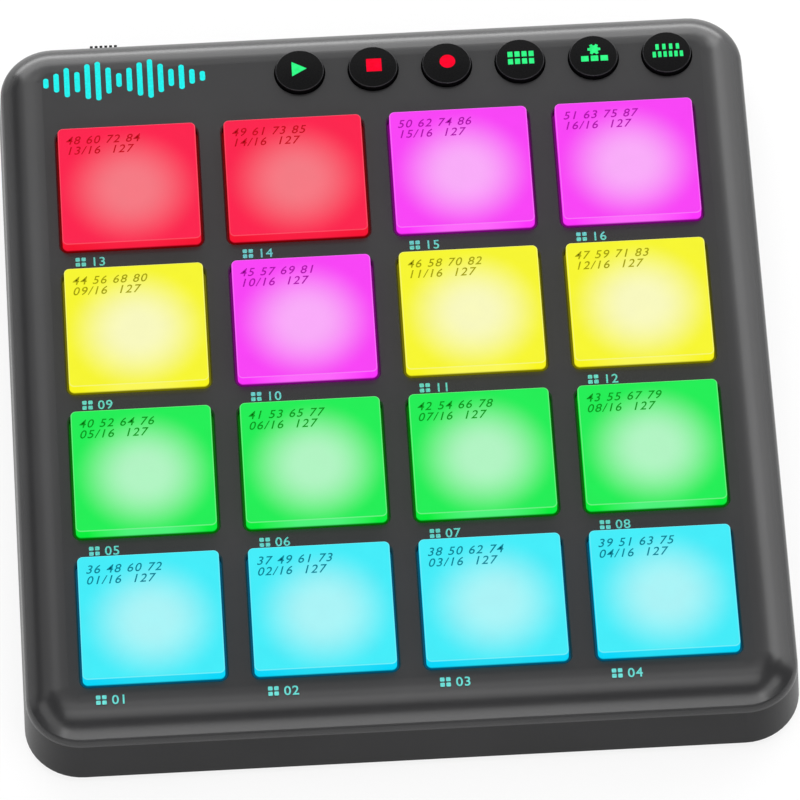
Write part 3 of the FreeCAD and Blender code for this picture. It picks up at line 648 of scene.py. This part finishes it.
sheet = bmesh.new()
for place, height in enumerate(bar_heights):
    tall = height * mm
    shape = bar_shape(bar_width, tall, bar_corner)
    set_ink(sheet, shape, bars_left + place * bar_step, bars_middle - tall / 2, panel_z)
finish_ink(sheet, "level_bars", bright_ink, "housing")


# Housing screws
# Eight long self-tapping screws, driven up from below through the tray and
# the board into the top housing. Their cross recesses face down.

dress(screw_steel, "housing_screws")


# Studio
# A plain pale floor under soft light: strips and boxes behind, overhead, at
# the sides and in front. What the lens sees of the floor is a little paler.

floor_reach = 12.0
floor_dark = (0.90, 0.90, 0.90, 1.0)
floor_light = (0.93, 0.93, 0.93, 1.0)
floor_spot_size = 0.4
backdrop_share = 0.8

floor_mesh = bpy.data.meshes.new("floor")
floor_corners = [(side_x * floor_reach, side_y * floor_reach, 0)
                 for side_x, side_y in ((-1, -1), (1, -1), (1, 1), (-1, 1))]
floor_mesh.from_pydata(floor_corners, [], [(0, 1, 2, 3)])
floor_paint, floor_tree, floor_shader = new_finish("floor_paint")
floor_tone = speckle(floor_tree, floor_spot_size, detail=2.0)
floor_colour = blend_colours(floor_tree, floor_tone, floor_dark, floor_light)
floor_tree.links.new(floor_colour, floor_shader.inputs["Base Color"])
floor_shader.inputs["Roughness"].default_value = 0.9
floor_shader.inputs["Specular IOR Level"].default_value = 0.0
backdrop_glow = floor_tree.nodes.new("ShaderNodeEmission")
backdrop_glow.inputs["Strength"].default_value = 1.0
ray = floor_tree.nodes.new("ShaderNodeLightPath").outputs
seen = reckon(floor_tree, "MAXIMUM", ray["Is Camera Ray"], ray["Is Glossy Ray"])
seen = reckon(floor_tree, "MAXIMUM", seen, ray["Is Transmission Ray"])
paler = floor_tree.nodes.new("ShaderNodeMixShader")
floor_tree.links.new(reckon(floor_tree, "MULTIPLY", seen, backdrop_share), paler.inputs["Fac"])
floor_tree.links.new(floor_shader.outputs["BSDF"], paler.inputs[1])
floor_tree.links.new(backdrop_glow.outputs["Emission"], paler.inputs[2])
floor_tree.links.new(paler.outputs["Shader"], floor_tree.nodes["Material Output"].inputs["Surface"])
floor_mesh.materials.append(floor_paint)
floor = bpy.data.objects.new("floor", floor_mesh)
bpy.context.collection.objects.link(floor)

# Each lamp: its bearing and its height in degrees as seen from the object, the
# width and height that it fills there in degrees, and its power in watts.
lamp_distance = 3.2
soft_lamps = {
    "rear_1": (90, 5, 70, 10, 50.0),
    "rear_2": (90, 16, 70, 12, 27.5),
    "rear_3": (90, 28, 70, 12, 32.5),
    "rear_4": (90, 39, 70, 10, 8.4),
    "rear_5": (90, 49, 70, 9, 9.7),
    "over_rear_1": (90, 62, 60, 16, 4.4),
    "over_rear_2": (90, 76, 50, 12, 5.7),
    "overhead": (90, 88, 50, 12, 11.5),
    "over_front_1": (270, 79, 50, 10, 13.6),
    "over_front_2": (270, 69, 50, 10, 9.7),
    "front_1": (270, 37, 70, 10, 20.0),
    "front_2": (270, 27, 70, 10, 31.0),
    "front_3": (270, 15, 70, 14, 12.0),
    "front_left": (203, 32, 64, 20, 23.0),
    "front_right": (325, 31, 40, 18, 19.0),
    "right_1": (32, 6, 40, 14, 8.8),
    "right_2": (34, 20, 40, 14, 12.3),
    "right_3": (42, 35, 36, 16, 19.4),
    "left_1": (150, 6, 40, 14, 4.0),
    "left_2": (138, 35, 36, 16, 4.4),
    "left_3": (122, 50, 24, 12, 3.1),
}
for name, (bearing, rise, wide, tall, power) in soft_lamps.items():
    turn, lift = math.radians(bearing), math.radians(rise)
    towards = Vector((math.cos(lift) * math.cos(turn), math.cos(lift) * math.sin(turn), math.sin(lift)))
    data = bpy.data.lights.new(name, "AREA")
    data.shape = "RECTANGLE"
    data.size = 2 * lamp_distance * math.tan(math.radians(wide / 2))
    data.size_y = 2 * lamp_distance * math.tan(math.radians(tall / 2))
    data.energy = power
    lamp = bpy.data.objects.new(name, data)
    lamp.location = towards * lamp_distance
    lamp.rotation_euler = (-towards).to_track_quat("-Z", "Y").to_euler()
    bpy.context.collection.objects.link(lamp)

world = bpy.data.worlds.new("pale_sky")
bpy.context.scene.world = world
world.use_nodes = True
sky = world.node_tree.nodes["Background"]
sky.inputs["Color"].default_value = (1.0, 1.0, 1.0, 1.0)
sky.inputs["Strength"].default_value = 0.1

bpy.context.scene.view_settings.view_transform = "Standard"
